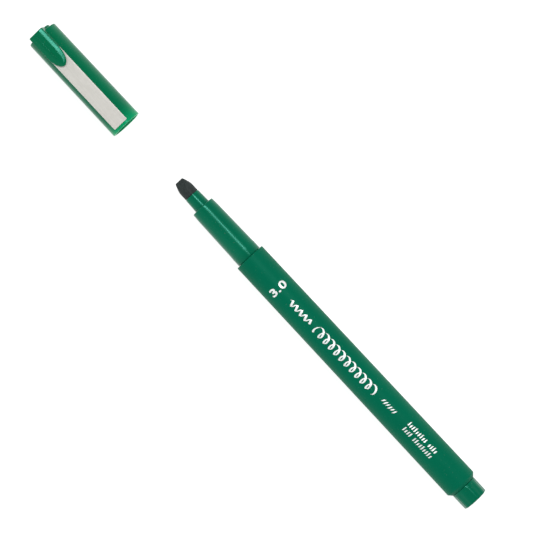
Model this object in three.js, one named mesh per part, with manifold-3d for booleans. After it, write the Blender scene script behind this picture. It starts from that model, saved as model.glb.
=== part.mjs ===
// A broad-edge calligraphy marker, lying on its side with the cap pulled off in line with it.
//
// Units are millimetres and +Z is up. The marker's axis is parallel to X, with the nib towards -X
// and the tail towards +X, and the lowest facets of the barrel lie on Z = 0. The origin is under
// the middle of the whole length.
//
// Two groups hold the pieces. The pen's own frame has X = 0 at the shoulder, where the barrel meets
// the neck, and the cap's has X = 0 at its mouth. The cap is on when the two frames meet, apart
// from SEAT_GAP.
import * as THREE from "three";
import { mergeVertices } from "three/addons/utils/BufferGeometryUtils.js";
import Module from "manifold-3d";

const wasm = await Module();
wasm.setup();

// Clearances
const FIT = 0.08; // radial room between a plug or spigot and its hole
const SEAT_GAP = 0.1; // axial room between two faces that meet
const CAP_CLEARANCE = 0.12; // radial room between the cap's mouth and the neck
const SEAL_CLEARANCE = 0.06; // radial room between the liner's lip and the nib holder

// Ink reservoir
const RESERVOIR_RADIUS = 2.95;
const RESERVOIR_ROOM = 0.15; // radial room around the reservoir
const FILM_WALL = 0.12;

// Nib: a round felt head with a tapered front, and two flats that meet in the writing edge, on a
// thinner tang
const NIB_LENGTH = 5.9;
const NIB_RADIUS = 2.42;
const NIB_TAPER_LENGTH = 3;
const NIB_EDGE_WIDTH = 3.04;
const NIB_EDGE_THICKNESS = 0.35;
const NIB_HALF_ANGLE = THREE.MathUtils.degToRad(34);
const NIB_TURN = THREE.MathUtils.degToRad(16); // the edge's slope to the horizontal, seen along the axis
const TANG_RADIUS = 1.7;
const TANG_DEPTH = 6; // how far the tang reaches into the reservoir
const TANG_POINT = 1.4;

// Nib holder
const HOLDER_LENGTH = 4.8; // the part in front of the neck
const HOLDER_RIM = 0.08; // the holder stands proud of the nib by this
const HOLDER_FLARE = 0.17; // how much the radius grows towards the neck
const HOLDER_FLANGE_RISE = 0.35; // least step between the holder and its flange
const HOLDER_FLANGE_LENGTH = 3.5;
const HOLDER_LIP = 0.12; // bevel at the front
const AIR_SLOT_WIDTH = 0.7;
const AIR_SLOT_DEPTH = 0.35;

// Front section: the neck that the cap fits over, with its spigot in the barrel
const NECK_LENGTH = 21.3;
const NECK_WALL = 0.9; // at the front end
const NECK_FLARE = 0.24; // how much the radius grows towards the barrel
const NECK_FRONT_WALL = 1.2;
const LAND_STEP = 0.06; // the land stands proud of the neck by this
const LAND_LENGTH = 3.4;
const BEAD_WIDTH = 1.1;
const BEAD_RISE = 0.03;
const SPIGOT_WALL = 0.7;
const SPIGOT_LENGTH = 7;

// Barrel
const BARREL_LENGTH = 96.3;
const BARREL_WALL = 1.25; // at the shoulder
const BARREL_FLARE = 0.24; // how much the radius grows towards the tail
const BARREL_RIM_BEVEL = 0.15;
const TAIL_LEDGE = 0.12; // flat ring left between the barrel's end chamfer and the plug
const CHAMFER_LENGTH = 1.05;
const RIB_COUNT = 6;
const RIB_WIDTH = 0.9;
const RIB_ROOTED = 0.3; // how far a rib reaches into the barrel's wall

// Tail plug
const TAIL_LENGTH = 5.7;
const TAIL_TAPER = 0.04;
const TAIL_EDGE = 0.35;
const FLUTE_COUNT = 10;
const FLUTE_DEPTH = 0.14;
const FLUTE_START = 0.9; // plain collar between the barrel and the flutes
const PLUG_SPIGOT_LENGTH = 8;
const PLUG_NOSE_LENGTH = 4;
const PLUG_NOSE_WALL = 0.7;

// Cap
const CAP_WALL = 0.78; // at the mouth
const CAP_DRAFT = 0.11; // how much slimmer the cap is at the crown
const CAP_BORE_DRAFT = 0.1;
const CAP_EDGE = 0.25;
const CAP_END_WALL = 2.9;
const LINER_END_GAP = 0.3;
const LINER_WALL = 1;
const LINER_LIP_LENGTH = 1.7;
const LINER_END_WALL = 1.2;
const NIB_ROOM = 1.9; // between the nib and the liner's end, with the cap on
const CAP_TURN = THREE.MathUtils.degToRad(11.5); // the clip's lean from straight up
const CAP_APART = 23.6; // from the cap's mouth to the nib, with the cap pulled off

// Pocket clip, and the crown whose hood holds it down
const CLIP_WIDTH = 5.1;
const CLIP_THICKNESS = 0.4;
const CLIP_LIFT = 0.3; // room under the blade, over the top of the cap
const CLIP_SETBACK = 0.9; // from the cap's mouth to the clip's tip
const CLIP_CURL_END = 20; // slope left at the end of the turned-down tip, in degrees from straight down
const CLIP_CORNER = 0.3;
const CLIP_MAX_LIFT = THREE.MathUtils.degToRad(3);
const ROOT_NARROWING = 0.75; // on each side, under the hood
const LUG_DEPTH = 1.4;
const LUG_SETBACK = 0.7; // from the cap's end face to the lug
const CROWN_RADIUS = 3.5;
const CROWN_HEIGHT = 1;
const CROWN_EDGE = 0.3;
const STEM_RADIUS = 1.5;
const STEM_LENGTH = 2.2;
const HOOD_LENGTH = 13.5;
const HOOD_ARCH = 5.6; // length of the rounded front end
const HOOD_OVERHANG = 0.1; // past the clip, on each side
const HOOD_REAR_ROUND = 0.6;
const HOOD_NOSE_ROUND = 0.8;
const HOOD_ROOF = 0.5; // over the clip at its highest lift
const HOOD_CROWN_RADIUS = 5.5; // roundness of the hood's top
const HOOD_SHOULDER = 0.5;
const HOOD_GAP = 0.1; // between the hood and what lies under it

const FACETS = 48; // round a full turn
const BARREL_FACETS = 24; // wider flats, so that the marker lies still
const ARC_STEPS = 4; // in a small rounded edge
const ARCH_STEPS = 14;

// Radii that follow from what each piece holds or fits
const coreRadius = RESERVOIR_RADIUS - FILM_WALL - FIT / 2;
const ribRadius = RESERVOIR_RADIUS + RESERVOIR_ROOM;
const holderFront = NIB_RADIUS + HOLDER_RIM;
const holderRear = holderFront + HOLDER_FLARE;
const neckBore = Math.max(ribRadius, holderRear + HOLDER_FLANGE_RISE + FIT);
const neckFront = neckBore + NECK_WALL;
const neckRear = neckFront + NECK_FLARE;
const landRadius = neckRear + LAND_STEP;
const spigotRadius = neckBore + SPIGOT_WALL;
const barrelBore = spigotRadius + FIT;
const barrelFront = barrelBore + BARREL_WALL;
const barrelRear = barrelFront + BARREL_FLARE;
const tailRadius = landRadius; // so that the cap also fits over the tail
const capBore = landRadius + CAP_CLEARANCE;
const capMouthRadius = capBore + CAP_WALL;
const capCrownRadius = capMouthRadius - CAP_DRAFT;
const linerRadius = capBore - CAP_BORE_DRAFT - FIT;
const chamberRadius = linerRadius - LINER_WALL;

// Places along the pen, from the shoulder
const neckTip = -NECK_LENGTH;
const holderTip = neckTip - HOLDER_LENGTH;
const nibTip = holderTip - NIB_LENGTH;
const flangeFront = neckTip + NECK_FRONT_WALL + SEAT_GAP;
const flangeRear = flangeFront + HOLDER_FLANGE_LENGTH;
const reservoirFront = flangeRear + SEAT_GAP;
const plugNoseTip = BARREL_LENGTH - PLUG_SPIGOT_LENGTH - PLUG_NOSE_LENGTH;
const reservoirRear = plugNoseTip - SEAT_GAP;
const tailEnd = BARREL_LENGTH + SEAT_GAP + TAIL_LENGTH;

// Places along the cap, from its mouth, with the crown towards -X
const linerMouth = neckTip - LINER_END_GAP;
const chamberEnd = nibTip - NIB_ROOM;
const linerEnd = chamberEnd - LINER_END_WALL;
const capFloor = linerEnd - SEAT_GAP;
const capEnd = capFloor - CAP_END_WALL;
const crownEnd = capEnd - CROWN_HEIGHT;
const hoodTip = crownEnd + HOOD_LENGTH;
const lugFront = capEnd + LUG_SETBACK;
const rootWidth = CLIP_WIDTH - 2 * ROOT_NARROWING;
const hoodWidth = CLIP_WIDTH + 2 * HOOD_OVERHANG;
const clipUnder = capMouthRadius + CLIP_LIFT;
const clipTop = clipUnder + CLIP_THICKNESS;

const vector = ([x, y]) => new THREE.Vector2(x, y);

// Points of an arc about (x, y), from one angle to another in degrees.
function arc(x, y, radius, from, to, steps = ARC_STEPS) {
  return Array.from({ length: steps + 1 }, (_, i) => {
    const angle = THREE.MathUtils.degToRad(from + ((to - from) * i) / steps);
    return [x + radius * Math.cos(angle), y + radius * Math.sin(angle)];
  });
}

// A manifold-3d solid from a closed three.js geometry.
function solidOf(geometry) {
  const bare = geometry.clone();
  bare.deleteAttribute("normal");
  bare.deleteAttribute("uv");
  const merged = mergeVertices(bare);
  return new wasm.Manifold(
    new wasm.Mesh({
      numProp: 3,
      vertProperties: merged.attributes.position.array,
      triVerts: new Uint32Array(merged.index.array),
    }),
  );
}

// A three.js geometry from a manifold-3d solid.
function geometryOf(solid) {
  const mesh = solid.getMesh();
  const geometry = new THREE.BufferGeometry();
  geometry.setAttribute("position", new THREE.BufferAttribute(mesh.vertProperties, 3));
  geometry.setIndex(new THREE.BufferAttribute(mesh.triVerts, 1));
  geometry.computeVertexNormals();
  return geometry;
}

// Turns a profile of [x, radius] points about the X axis, with flats facing Y and Z. The profile runs
// anticlockwise on a page with X to the right and the radius up.
function turned(profile, facets = FACETS) {
  const points = profile.map(([x, radius]) => new THREE.Vector2(radius, x)).reverse();
  return new THREE.LatheGeometry(points, facets, Math.PI / facets).rotateZ(-Math.PI / 2);
}

// An outline of [x, y] points with a depth along Z from one height to another.
function plate(outline, bottom, top) {
  const shape = new THREE.Shape(outline.map(vector));
  const geometry = new THREE.ExtrudeGeometry(shape, { depth: top - bottom, bevelEnabled: false });
  return geometry.translate(0, 0, bottom);
}

// An outline of [x, z] points, seen from the side, with a width along Y about the middle.
function sidePlate(outline, width) {
  return plate(outline, -width / 2, width / 2).rotateX(Math.PI / 2);
}

// An outline of [y, z] points, seen along the axis, from one X to another.
function crossPlate(outline, from, to) {
  return plate(outline, from, to).rotateX(Math.PI / 2).rotateZ(Math.PI / 2);
}

function box(x0, x1, y0, y1, z0, z1) {
  return new THREE.BoxGeometry(x1 - x0, y1 - y0, z1 - z0).translate(
    (x0 + x1) / 2,
    (y0 + y1) / 2,
    (z0 + z1) / 2,
  );
}

// The same tool, repeated round the X axis.
function repeatedRound(makeTool, count) {
  return Array.from({ length: count }, (_, i) =>
    solidOf(makeTool().rotateX((2 * Math.PI * i) / count)),
  );
}

function chiselNib() {
  const headEnd = holderTip - SEAT_GAP;
  const tangEnd = reservoirFront + TANG_DEPTH;
  const round = turned([
    [tangEnd, 0],
    [tangEnd, TANG_RADIUS / 2],
    [tangEnd - TANG_POINT, TANG_RADIUS],
    [headEnd, TANG_RADIUS],
    [headEnd, NIB_RADIUS],
    [nibTip + NIB_TAPER_LENGTH, NIB_RADIUS],
    [nibTip, NIB_EDGE_WIDTH / 2],
    [nibTip, 0],
  ]);
  const halfEdge = NIB_EDGE_THICKNESS / 2;
  const flatsEnd = nibTip + (NIB_RADIUS - halfEdge) / Math.tan(NIB_HALF_ANGLE);
  const wedge = sidePlate(
    [
      [nibTip, -halfEdge],
      [flatsEnd, -NIB_RADIUS],
      [tangEnd + 1, -NIB_RADIUS],
      [tangEnd + 1, NIB_RADIUS],
      [flatsEnd, NIB_RADIUS],
      [nibTip, halfEdge],
    ],
    2 * NIB_RADIUS + 1,
  );
  return geometryOf(solidOf(round).intersect(solidOf(wedge.rotateX(NIB_TURN))));
}

function nibHolder() {
  const flangeRadius = neckBore - FIT;
  const bore = TANG_RADIUS + FIT;
  const body = solidOf(
    turned([
      [holderTip, bore],
      [flangeRear, bore],
      [flangeRear, flangeRadius],
      [flangeFront, flangeRadius],
      [flangeFront, holderRear],
      [neckTip, holderRear],
      [holderTip + HOLDER_LIP, holderFront],
      [holderTip, holderFront - HOLDER_LIP],
      [holderTip, bore],
    ]),
  );
  // Two slots along the tang let air back into the reservoir as ink leaves it.
  const slots = repeatedRound(
    () =>
      box(
        flangeFront,
        flangeRear + 1,
        -AIR_SLOT_WIDTH / 2,
        AIR_SLOT_WIDTH / 2,
        0,
        bore + AIR_SLOT_DEPTH,
      ),
    2,
  );
  return geometryOf(slots.reduce((solid, slot) => solid.subtract(slot), body));
}

function frontSection() {
  const landStart = -LAND_LENGTH;
  const beadMiddle = landStart + BEAD_WIDTH / 2;
  const mouth = holderRear + FIT;
  const bead = [
    [beadMiddle, landRadius + BEAD_RISE],
    [landStart + BEAD_WIDTH * 0.15, landRadius],
  ];
  return turned([
    [neckTip, mouth],
    [neckTip + NECK_FRONT_WALL, mouth],
    [neckTip + NECK_FRONT_WALL, neckBore],
    [SPIGOT_LENGTH, neckBore],
    [SPIGOT_LENGTH, spigotRadius - FIT],
    [SPIGOT_LENGTH - 1, spigotRadius],
    [-SEAT_GAP, spigotRadius],
    [-SEAT_GAP, landRadius],
    [landStart + BEAD_WIDTH, landRadius],
    ...bead,
    [landStart, neckRear],
    ...arc(neckTip + CAP_EDGE, neckFront - CAP_EDGE, CAP_EDGE, 90, 180),
    [neckTip, mouth],
  ]);
}

function barrel() {
  const tail = tailRadius + TAIL_LEDGE;
  const profile = [
    [0, barrelBore],
    [BARREL_LENGTH, barrelBore],
    [BARREL_LENGTH, tail],
    [BARREL_LENGTH - CHAMFER_LENGTH, barrelRear],
    [BARREL_RIM_BEVEL, barrelFront],
    [0, barrelFront - BARREL_RIM_BEVEL],
    [0, barrelBore],
  ];
  const tube = solidOf(turned(profile, BARREL_FACETS));
  // Ribs inside the bore keep the reservoir in the middle and leave room for air round it.
  const ribs = repeatedRound(
    () =>
      box(
        SPIGOT_LENGTH + 1,
        BARREL_LENGTH - PLUG_SPIGOT_LENGTH - 1,
        -RIB_WIDTH / 2,
        RIB_WIDTH / 2,
        ribRadius,
        barrelBore + RIB_ROOTED,
      ),
    RIB_COUNT,
  );
  return geometryOf(ribs.reduce((solid, rib) => solid.add(rib), tube));
}

function inkReservoir() {
  const hole = TANG_RADIUS + FIT;
  const holeEnd = reservoirFront + TANG_DEPTH + SEAT_GAP;
  return turned([
    [reservoirRear, 0],
    [reservoirRear, coreRadius],
    [reservoirFront, coreRadius],
    [reservoirFront, hole],
    [holeEnd, hole],
    [holeEnd, 0],
  ]);
}

function reservoirFilm() {
  const inner = RESERVOIR_RADIUS - FILM_WALL;
  return turned([
    [reservoirFront, inner],
    [reservoirRear, inner],
    [reservoirRear, RESERVOIR_RADIUS],
    [reservoirFront, RESERVOIR_RADIUS],
    [reservoirFront, inner],
  ]);
}

function tailPlug() {
  const start = BARREL_LENGTH + SEAT_GAP;
  const spigotFront = BARREL_LENGTH - PLUG_SPIGOT_LENGTH;
  const spigot = barrelBore - FIT;
  const nose = RESERVOIR_RADIUS - RESERVOIR_ROOM;
  const hollow = nose - PLUG_NOSE_WALL;
  const hollowEnd = start + TAIL_LENGTH / 3;
  const endRadius = tailRadius - TAIL_TAPER;
  const body = solidOf(
    turned([
      [tailEnd, 0],
      ...arc(tailEnd - TAIL_EDGE, endRadius - TAIL_EDGE, TAIL_EDGE, 0, 90),
      [start, tailRadius],
      [start, spigot],
      [spigotFront + FIT, spigot],
      [spigotFront, spigot - FIT],
      [spigotFront, nose],
      [plugNoseTip, nose],
      [plugNoseTip, hollow],
      [hollowEnd, hollow],
      [hollowEnd, 0],
    ]),
  );
  // Shallow flutes give a grip for pulling the plug out.
  const reach = tailRadius + 1;
  const scallop = tailRadius / 2;
  const cutters = repeatedRound(
    () =>
      new THREE.CylinderGeometry(scallop, scallop, reach * 2, FACETS / 2)
        .rotateZ(Math.PI / 2)
        .translate(start + FLUTE_START + reach, 0, tailRadius + scallop - FLUTE_DEPTH),
    FLUTE_COUNT,
  );
  return geometryOf(cutters.reduce((solid, cutter) => solid.subtract(cutter), body));
}

function capShell() {
  const hole = STEM_RADIUS + FIT;
  const holeEnd = capEnd + STEM_LENGTH + SEAT_GAP;
  const innerBore = capBore - CAP_BORE_DRAFT;
  const shell = solidOf(
    turned([
      [capFloor, 0],
      [capFloor, innerBore],
      [-CAP_EDGE, capBore],
      [0, capBore + CAP_EDGE / 2],
      ...arc(-CAP_EDGE, capMouthRadius - CAP_EDGE, CAP_EDGE, 0, 90),
      ...arc(capEnd + CAP_EDGE, capCrownRadius - CAP_EDGE, CAP_EDGE, 90, 180),
      [capEnd, hole],
      [holeEnd, hole],
      [holeEnd, 0],
    ]),
  );
  const slot = box(
    lugFront - SEAT_GAP,
    lugFront + CLIP_THICKNESS + SEAT_GAP,
    -rootWidth / 2 - SEAT_GAP,
    rootWidth / 2 + SEAT_GAP,
    clipUnder - LUG_DEPTH - SEAT_GAP,
    capMouthRadius + 1,
  );
  return geometryOf(shell.subtract(solidOf(slot)));
}

function capLiner() {
  const lip = holderRear + SEAL_CLEARANCE;
  return turned([
    [chamberEnd, 0],
    [chamberEnd, chamberRadius],
    [linerMouth - LINER_LIP_LENGTH, chamberRadius],
    [linerMouth - LINER_LIP_LENGTH, lip],
    [linerMouth - CAP_EDGE, lip],
    [linerMouth, lip + CAP_EDGE],
    [linerMouth, linerRadius],
    [linerEnd, linerRadius],
    [linerEnd, 0],
  ]);
}

// The hood's outline from above: straight sides and a rounded front.
function hoodOutline() {
  const half = hoodWidth / 2;
  const archStart = hoodTip - HOOD_ARCH;
  const arch = Array.from({ length: ARCH_STEPS + 1 }, (_, i) => {
    const angle = (Math.PI * i) / ARCH_STEPS - Math.PI / 2;
    return [archStart + HOOD_ARCH * Math.cos(angle), half * Math.sin(angle)];
  });
  return [[crownEnd, -half], ...arch, [crownEnd, half]];
}

// The hood's section across the cap: straight sides, round shoulders and a gently round top.
function hoodSection(top) {
  const half = hoodWidth / 2;
  const middle = top - HOOD_CROWN_RADIUS;
  const inner = half - HOOD_SHOULDER;
  const shoulder = THREE.MathUtils.radToDeg(
    Math.asin(inner / (HOOD_CROWN_RADIUS - HOOD_SHOULDER)),
  );
  const centre = middle + Math.sqrt((HOOD_CROWN_RADIUS - HOOD_SHOULDER) ** 2 - inner ** 2);
  return [
    [-half, 0],
    [half, 0],
    ...arc(inner, centre, HOOD_SHOULDER, 0, 90 - shoulder),
    ...arc(0, middle, HOOD_CROWN_RADIUS, 90 - shoulder, 90 + shoulder, 2 * ARC_STEPS).slice(1, -1),
    ...arc(-inner, centre, HOOD_SHOULDER, 90 + shoulder, 180),
  ];
}

function capCrown() {
  const channelTop = clipTop + HOOD_GAP;
  const rootBack = lugFront - HOOD_GAP;
  const channelRise = (hoodTip - rootBack) * Math.tan(CLIP_MAX_LIFT);
  const hoodTop = channelTop + channelRise + HOOD_ROOF;
  const button = solidOf(
    turned([
      [capEnd + STEM_LENGTH, 0],
      [capEnd + STEM_LENGTH, STEM_RADIUS],
      [capEnd - SEAT_GAP, STEM_RADIUS],
      [capEnd - SEAT_GAP, CROWN_RADIUS],
      ...arc(crownEnd + CROWN_EDGE, CROWN_RADIUS - CROWN_EDGE, CROWN_EDGE, 90, 180),
      [crownEnd, 0],
    ]),
  );
  const noseRound = Math.min(HOOD_NOSE_ROUND, HOOD_ROOF + channelRise);
  const profile = [
    [crownEnd, 0],
    [hoodTip, 0],
    ...arc(hoodTip - noseRound, hoodTop - noseRound, noseRound, 0, 90),
    ...arc(crownEnd + HOOD_REAR_ROUND, hoodTop - HOOD_REAR_ROUND, HOOD_REAR_ROUND, 90, 180),
  ];
  const hood = solidOf(plate(hoodOutline(), 0, hoodTop + 1))
    .intersect(solidOf(crossPlate(hoodSection(hoodTop), crownEnd - 1, hoodTip + 1)))
    .intersect(solidOf(sidePlate(profile, hoodWidth + 1)));
  const underHood = solidOf(
    turned([
      [hoodTip + 1, 0],
      [hoodTip + 1, capMouthRadius + HOOD_GAP],
      [capEnd - SEAT_GAP, capMouthRadius + HOOD_GAP],
      [capEnd - SEAT_GAP, 0],
    ]),
  );
  // The channel's roof slopes up with the clip's blade at its highest lift.
  const blade = sidePlate(
    [
      [rootBack, 0],
      [hoodTip + 1, 0],
      [hoodTip + 1, channelTop + channelRise + Math.tan(CLIP_MAX_LIFT)],
      [rootBack, channelTop],
    ],
    rootWidth + 2 * HOOD_GAP,
  );
  const wideFrom = hoodTip - HOOD_ARCH - HOOD_GAP;
  const wideBlade = sidePlate(
    [
      [wideFrom, 0],
      [hoodTip + 1, 0],
      [hoodTip + 1, channelTop + channelRise + Math.tan(CLIP_MAX_LIFT)],
      [wideFrom, channelTop + (wideFrom - rootBack) * Math.tan(CLIP_MAX_LIFT)],
    ],
    hoodWidth + 1,
  );
  const cover = hood.subtract(underHood).subtract(solidOf(blade)).subtract(solidOf(wideBlade));
  return geometryOf(button.add(cover));
}

function pocketClip() {
  const drop = CLIP_LIFT - SEAT_GAP;
  const curlInner = drop / (1 - Math.sin(THREE.MathUtils.degToRad(CLIP_CURL_END)));
  const curlOuter = curlInner + CLIP_THICKNESS;
  const tip = -CLIP_SETBACK;
  const side = sidePlate(
    [
      [lugFront, clipUnder - LUG_DEPTH],
      [lugFront + CLIP_THICKNESS, clipUnder - LUG_DEPTH],
      [lugFront + CLIP_THICKNESS, clipUnder],
      ...arc(tip - curlOuter, clipUnder - curlInner, curlInner, 90, CLIP_CURL_END),
      ...arc(tip - curlOuter, clipUnder - curlInner, curlOuter, CLIP_CURL_END, 90),
      [lugFront, clipTop],
    ],
    CLIP_WIDTH + 1,
  );
  const half = CLIP_WIDTH / 2;
  const rootHalf = rootWidth / 2;
  const shoulder = hoodTip - HOOD_ARCH + HOOD_GAP;
  const fromAbove = plate(
    [
      [lugFront - 1, -rootHalf],
      [shoulder, -rootHalf],
      [shoulder, -half],
      ...arc(tip - CLIP_CORNER, -half + CLIP_CORNER, CLIP_CORNER, -90, 0),
      ...arc(tip - CLIP_CORNER, half - CLIP_CORNER, CLIP_CORNER, 0, 90),
      [shoulder, half],
      [shoulder, rootHalf],
      [lugFront - 1, rootHalf],
    ],
    0,
    clipTop + 1,
  );
  return geometryOf(solidOf(side).intersect(solidOf(fromAbove)));
}

const green = { color: 0x00694a, roughness: 0.3, metalness: 0 };
const looks = {
  green: new THREE.MeshStandardMaterial(green),
  felt: new THREE.MeshStandardMaterial({ color: 0x2e3433, roughness: 0.85, metalness: 0 }),
  fibre: new THREE.MeshStandardMaterial({ color: 0x1b2a27, roughness: 0.95, metalness: 0 }),
  film: new THREE.MeshStandardMaterial({ color: 0xe6ecea, roughness: 0.2, metalness: 0 }),
  natural: new THREE.MeshStandardMaterial({ color: 0xdfe6df, roughness: 0.45, metalness: 0 }),
  steel: new THREE.MeshStandardMaterial({ color: 0xcfccc6, roughness: 0.35, metalness: 1 }),
};

function named(name, geometry, look) {
  const mesh = new THREE.Mesh(geometry, look);
  mesh.name = name;
  return mesh;
}

const pen = new THREE.Group();
pen.add(
  named("barrel", barrel(), looks.green),
  named("front_section", frontSection(), looks.green),
  named("nib_holder", nibHolder(), looks.green),
  named("chisel_nib", chiselNib(), looks.felt),
  named("ink_reservoir", inkReservoir(), looks.fibre),
  named("reservoir_film", reservoirFilm(), looks.film),
  named("tail_plug", tailPlug(), looks.green),
);

const cap = new THREE.Group();
cap.add(
  named("cap_shell", capShell(), looks.green),
  named("cap_liner", capLiner(), looks.natural),
  named("cap_crown", capCrown(), looks.green),
  named("pocket_clip", pocketClip(), looks.steel),
);
cap.position.x = nibTip - CAP_APART;
cap.rotation.x = CAP_TURN;

const marker = new THREE.Group();
marker.add(pen, cap);
const crownPlace = cap.position.x + crownEnd;
const axisHeight = barrelRear * Math.cos(Math.PI / BARREL_FACETS);
marker.position.set(-(crownPlace + tailEnd) / 2, 0, axisHeight);

export default marker;
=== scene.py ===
import math

import bmesh
import bpy
from mathutils import Matrix, Vector


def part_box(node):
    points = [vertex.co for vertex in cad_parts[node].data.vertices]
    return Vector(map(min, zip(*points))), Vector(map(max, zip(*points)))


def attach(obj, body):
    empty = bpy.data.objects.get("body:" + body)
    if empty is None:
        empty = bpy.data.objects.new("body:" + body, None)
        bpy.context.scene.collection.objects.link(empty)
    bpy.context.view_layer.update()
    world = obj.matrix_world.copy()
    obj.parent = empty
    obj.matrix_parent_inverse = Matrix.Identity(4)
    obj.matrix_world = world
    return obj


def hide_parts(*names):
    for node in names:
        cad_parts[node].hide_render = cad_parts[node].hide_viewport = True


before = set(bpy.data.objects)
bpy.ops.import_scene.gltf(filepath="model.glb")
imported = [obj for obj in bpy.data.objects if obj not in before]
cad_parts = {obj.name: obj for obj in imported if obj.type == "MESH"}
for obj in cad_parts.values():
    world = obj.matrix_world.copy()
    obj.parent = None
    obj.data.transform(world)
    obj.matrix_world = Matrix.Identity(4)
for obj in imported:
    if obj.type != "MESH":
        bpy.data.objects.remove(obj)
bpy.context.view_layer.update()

MM = 0.001
SIDES = 120  # round a full turn
TINY = 1e-7  # how closely two places agree

# Places along the axis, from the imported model.
AXIS = (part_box("barrel")[0].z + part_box("barrel")[1].z) / 2
BARREL_FRONT, BARREL_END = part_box("barrel")[0].x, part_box("barrel")[1].x
NECK_TIP, SPIGOT_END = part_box("front_section")[0].x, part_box("front_section")[1].x
HOLDER_TIP, HOLDER_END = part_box("nib_holder")[0].x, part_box("nib_holder")[1].x
NIB_TIP, TANG_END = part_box("chisel_nib")[0].x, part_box("chisel_nib")[1].x
PLUG_NOSE, TAIL_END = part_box("tail_plug")[0].x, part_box("tail_plug")[1].x
CAP_END, CAP_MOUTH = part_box("cap_shell")[0].x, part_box("cap_shell")[1].x
LINER_END, LINER_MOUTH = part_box("cap_liner")[0].x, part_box("cap_liner")[1].x
CROWN_END, HOOD_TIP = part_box("cap_crown")[0].x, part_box("cap_crown")[1].x
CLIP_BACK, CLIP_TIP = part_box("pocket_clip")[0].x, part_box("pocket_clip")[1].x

# Radii and small sizes of the turned pieces.
FIT = 0.08 * MM
SEAT_GAP = 0.1 * MM
BARREL_RADIUS_FRONT = 5.13 * MM
BARREL_RADIUS_REAR = 5.37 * MM
BARREL_BORE = 3.88 * MM
NECK_BORE = 3.1 * MM
NECK_RADIUS_FRONT = 4.0 * MM
NECK_RADIUS_REAR = 4.24 * MM
LAND_RADIUS = 4.3 * MM
LAND_LENGTH = 3.4 * MM
LEAD_LENGTH = 2.8 * MM  # the neck's rounded-off start
SPIGOT_RADIUS = 3.8 * MM
HOLDER_RADIUS_FRONT = 2.5 * MM
HOLDER_RADIUS_REAR = 2.67 * MM
NIB_RADIUS = 2.42 * MM
NIB_EDGE_WIDTH = 3.04 * MM
NIB_EDGE_THICKNESS = 0.35 * MM
NIB_TAPER = 3 * MM
NIB_HALF_ANGLE = math.radians(34)
NIB_TURN = math.radians(16)
TANG_RADIUS = 1.7 * MM
TAIL_RADIUS = 4.3 * MM
FLUTE_DEPTH = 0.14 * MM
FLUTES = 10
CAP_BORE = 4.42 * MM
CAP_RADIUS = 5.2 * MM
CAP_DRAFT = 0.11 * MM
CAP_LEAN = math.radians(11.5)
LINER_RADIUS = 4.24 * MM
LINER_LIP = 2.73 * MM
LINER_CHAMBER = 3.24 * MM
CROWN_RADIUS = 3.5 * MM
STEM_RADIUS = 1.5 * MM
STEM_LENGTH = 2.2 * MM

# The clip and the hood over it.
CLIP_WIDTH = 5.1 * MM
CLIP_THICKNESS = 0.4 * MM
CLIP_UNDER = CAP_RADIUS + 0.3 * MM
CLIP_TOP = CLIP_UNDER + CLIP_THICKNESS
CLIP_ROOT_WIDTH = 3.6 * MM
CLIP_LUG = 1.4 * MM  # how far the root reaches into the cap's end wall
CLIP_TIP_TURN = math.radians(70)
CLIP_LIFT = math.radians(3)
HOOD_WIDTH = 5.3 * MM
HOOD_ARCH = 5.6 * MM
HOOD_TOP = 7.12 * MM
HOOD_ROUNDNESS = 30 * MM
HOOD_CHAMFER = 1.45 * MM
HOOD_CHAMFER_DROP = 0.425 * MM
RIB_LEFT, RIB_RIGHT = -0.55 * MM, -0.25 * MM
RIB_HEIGHT = 0.12 * MM


# ---- Working at the bench -------------------------------------------------------------------


def clear_bench():
    """Deselect everything, so that the next step acts on its own piece only."""
    bpy.ops.object.select_all(action="DESELECT")


def take(piece):
    """Select one piece alone."""
    clear_bench()
    piece.select_set(True)
    bpy.context.view_layer.objects.active = piece
    return piece


def settle(piece):
    """Put the piece's place into its mesh."""
    take(piece)
    bpy.ops.object.transform_apply(location=True, rotation=True, scale=True)
    return piece


def added(name):
    """Name the piece that was just added and put its place into its mesh."""
    piece = bpy.context.object
    piece.name = name
    piece.data.name = name
    return settle(piece)


def pick(piece, wanted):
    """In edit mode, select the points whose place passes the test, and what lies between them."""
    bpy.ops.mesh.select_mode(type="VERT")
    bpy.ops.mesh.select_all(action="DESELECT")
    shape = bmesh.from_edit_mesh(piece.data)
    for point in shape.verts:
        point.select = bool(wanted(point.co))
    shape.select_flush(True)
    bmesh.update_edit_mesh(piece.data)


def pick_faces(piece, wanted):
    """In edit mode, select the faces whose middle and normal pass the test."""
    bpy.ops.mesh.select_mode(type="FACE")
    bpy.ops.mesh.select_all(action="DESELECT")
    shape = bmesh.from_edit_mesh(piece.data)
    for face in shape.faces:
        face.select = bool(wanted(face.calc_center_median(), face.normal))
    shape.select_flush(True)
    bmesh.update_edit_mesh(piece.data)


def face_outwards():
    """In edit mode, merge points that coincide and turn every face outwards."""
    bpy.ops.mesh.select_all(action="SELECT")
    bpy.ops.mesh.remove_doubles(threshold=0.001 * MM)
    bpy.ops.mesh.normals_make_consistent(inside=False)


def cut_lengthwise(width, strips):
    """In edit mode, cut the piece into strips along X, as many to each side of the middle."""
    for i in range(-strips, strips + 1):
        bpy.ops.mesh.select_all(action="SELECT")
        bpy.ops.mesh.bisect(plane_co=(0, width * i, 0), plane_no=(0, 1, 0))


def apply_modifier(piece, modifier):
    take(piece)
    bpy.ops.object.modifier_apply(modifier=modifier.name)


def ease_edges(piece, width, steps=3, angle=28):
    """Round every edge sharper than the angle."""
    bevel = piece.modifiers.new("eased edges", "BEVEL")
    bevel.width = width
    bevel.segments = steps
    bevel.limit_method = "ANGLE"
    bevel.angle_limit = math.radians(angle)
    bevel.use_clamp_overlap = True
    apply_modifier(piece, bevel)


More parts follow.
